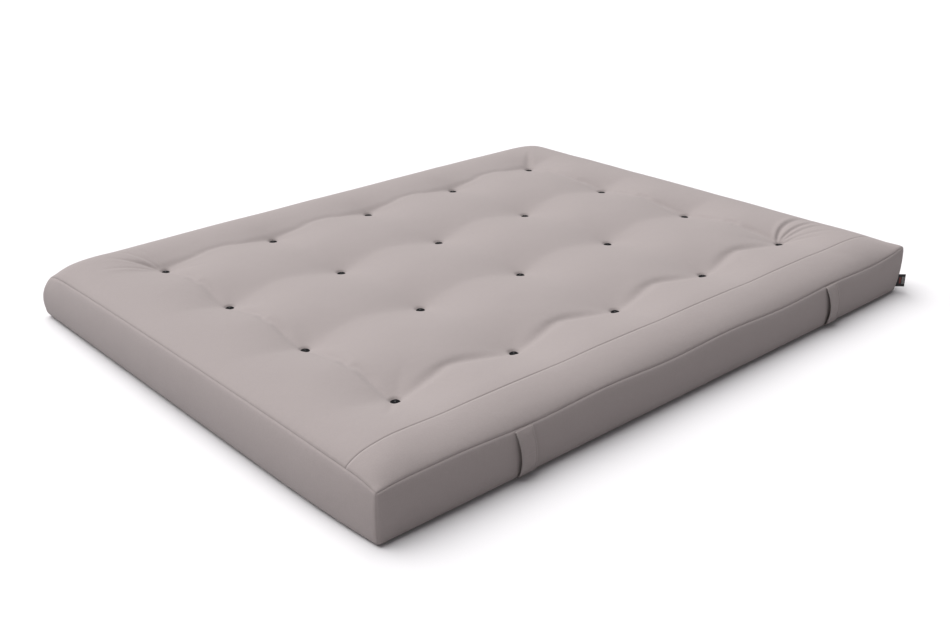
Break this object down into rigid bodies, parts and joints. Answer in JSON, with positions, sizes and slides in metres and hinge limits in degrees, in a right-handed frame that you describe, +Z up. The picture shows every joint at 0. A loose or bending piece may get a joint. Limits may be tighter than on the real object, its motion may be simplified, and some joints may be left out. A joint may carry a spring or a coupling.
{
  "type": "futon mattress",
  "caption": "Thick tufted futon mattress: coir slab in cotton wadding inside a sewn grey cotton cover, with carry straps along one side.",
  "frame": {"origin": "centre of the underside, on the floor", "axes": "+X along the length towards the tab's end, the carry straps are on the -Y side, +Z up"},
  "size_m": [2.0427, 1.6505, 0.16],
  "materials": {
    "cover_cotton": "matt plain-weave cotton, warm taupe grey",
    "cotton_wadding": "fluffy carded cotton",
    "coir": "rubberised coconut fibre mat",
    "tuft_felt": "black wool felt",
    "tuft_twine": "waxed black twine",
    "woven_tab": "black woven ribbon"
  },
  "bodies": {
    "mattress": {"cover_top_panel": "cover_cotton", "cover_top_strip": "cover_cotton", "cover_front_band": "cover_cotton", "cover_back_band": "cover_cotton", "cover_left_end_band": "cover_cotton", "cover_right_end_band": "cover_cotton", "cover_bottom_panel": "cover_cotton", "wadding_border": "cotton_wadding", "wadding_upper_1": "cotton_wadding", "wadding_upper_2": "cotton_wadding", "wadding_upper_3": "cotton_wadding", "wadding_lower_1": "cotton_wadding", "wadding_lower_2": "cotton_wadding", "wadding_lower_3": "cotton_wadding", "tuft_top_row1_col1": "tuft_felt", "tuft_top_row1_col2": "tuft_felt", "tuft_top_row1_col3": "tuft_felt", "tuft_top_row1_col4": "tuft_felt", "tuft_top_row1_col5": "tuft_felt", "tuft_top_row2_col1": "tuft_felt", "tuft_top_row2_col2": "tuft_felt", "tuft_top_row2_col3": "tuft_felt", "tuft_top_row2_col4": "tuft_felt", "tuft_top_row2_col5": "tuft_felt", "tuft_top_row3_col1": "tuft_felt", "tuft_top_row3_col2": "tuft_felt", "tuft_top_row3_col3": "tuft_felt", "tuft_top_row3_col4": "tuft_felt", "tuft_top_row3_col5": "tuft_felt", "tuft_top_row4_col1": "tuft_felt", "tuft_top_row4_col2": "tuft_felt", "tuft_top_row4_col3": "tuft_felt", "tuft_top_row4_col4": "tuft_felt", "tuft_top_row4_col5": "tuft_felt", "tuft_bottom_row1_col1": "tuft_felt", "tuft_bottom_row1_col2": "tuft_felt", "tuft_bottom_row1_col3": "tuft_felt", "tuft_bottom_row1_col4": "tuft_felt", "tuft_bottom_row1_col5": "tuft_felt", "tuft_bottom_row2_col1": "tuft_felt", "tuft_bottom_row2_col2": "tuft_felt", "tuft_bottom_row2_col3": "tuft_felt", "tuft_bottom_row2_col4": "tuft_felt", "tuft_bottom_row2_col5": "tuft_felt", "tuft_bottom_row3_col1": "tuft_felt", "tuft_bottom_row3_col2": "tuft_felt", "tuft_bottom_row3_col3": "tuft_felt", "tuft_bottom_row3_col4": "tuft_felt", "tuft_bottom_row3_col5": "tuft_felt", "tuft_bottom_row4_col1": "tuft_felt", "tuft_bottom_row4_col2": "tuft_felt", "tuft_bottom_row4_col3": "tuft_felt", "tuft_bottom_row4_col4": "tuft_felt", "tuft_bottom_row4_col5": "tuft_felt", "tuft_twines": "tuft_twine", "coir_core": "coir"},
    "left_strap": {"carry_strap_left": "cover_cotton"},
    "right_strap": {"carry_strap_right": "cover_cotton"},
    "tab": {"side_tab": "woven_tab"}
  },
  "joints": [
    {"name": "left_strap_pull", "type": "slide", "parent": "mattress", "child": "left_strap", "axis": [0, -1, 0], "range_m": [0, 0.02]},
    {"name": "right_strap_pull", "type": "slide", "parent": "mattress", "child": "right_strap", "axis": [0, -1, 0], "range_m": [0, 0.02]},
    {"name": "tab_flap", "type": "hinge", "parent": "mattress", "child": "tab", "pos_m": [1.0067, -0.8067, 0.035], "axis": [0, 0, 1], "range_deg": [-60, 60]}
  ]
}
